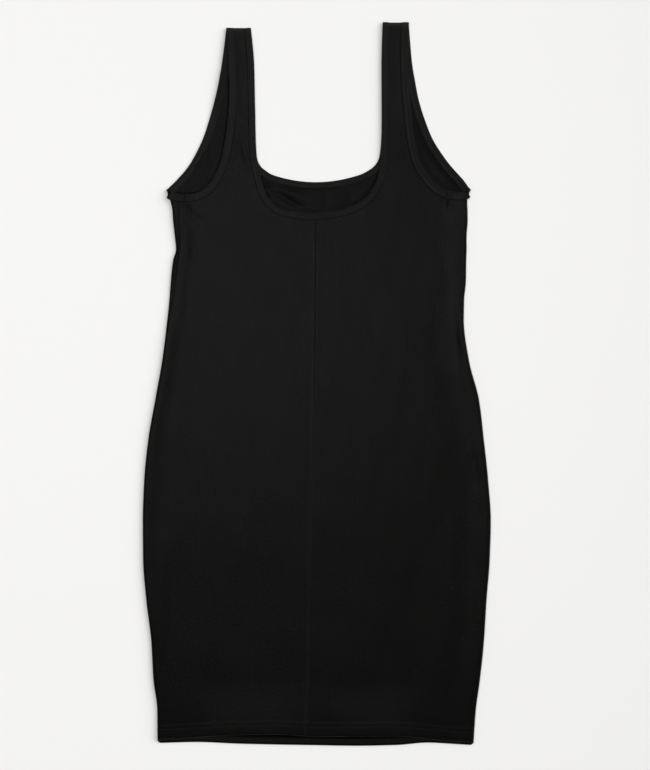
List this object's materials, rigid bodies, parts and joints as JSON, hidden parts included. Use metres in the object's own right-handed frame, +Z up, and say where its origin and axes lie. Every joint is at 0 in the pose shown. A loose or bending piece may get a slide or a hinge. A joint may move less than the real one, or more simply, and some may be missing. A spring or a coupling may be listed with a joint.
{
  "type": "bodycon dress",
  "caption": "Sleeveless black jersey bodycon mini dress with scoop neck, wide straps and bound edges, laid flat on its back.",
  "frame": {"origin": "middle of the dress's box, on the surface it lies on", "axes": "+X across the dress to the picture's right, +Y from the hem to the straps, +Z up out of the surface"},
  "size_m": [0.4382, 0.912, 0.008],
  "materials": {
    "black_jersey": "black cotton and elastane jersey, matt, fine vertical knit ribs",
    "jersey_binding": "the same jersey cut as a narrow strip, folded over the edge and stitched",
    "sewing_thread": "black polyester sewing thread, slight sheen"
  },
  "bodies": {
    "root": {"front_left_panel": "black_jersey", "front_right_panel": "black_jersey", "back_panel": "black_jersey", "neck_binding": "jersey_binding", "left_armhole_binding": "jersey_binding", "right_armhole_binding": "jersey_binding"}
  },
  "joints": []
}
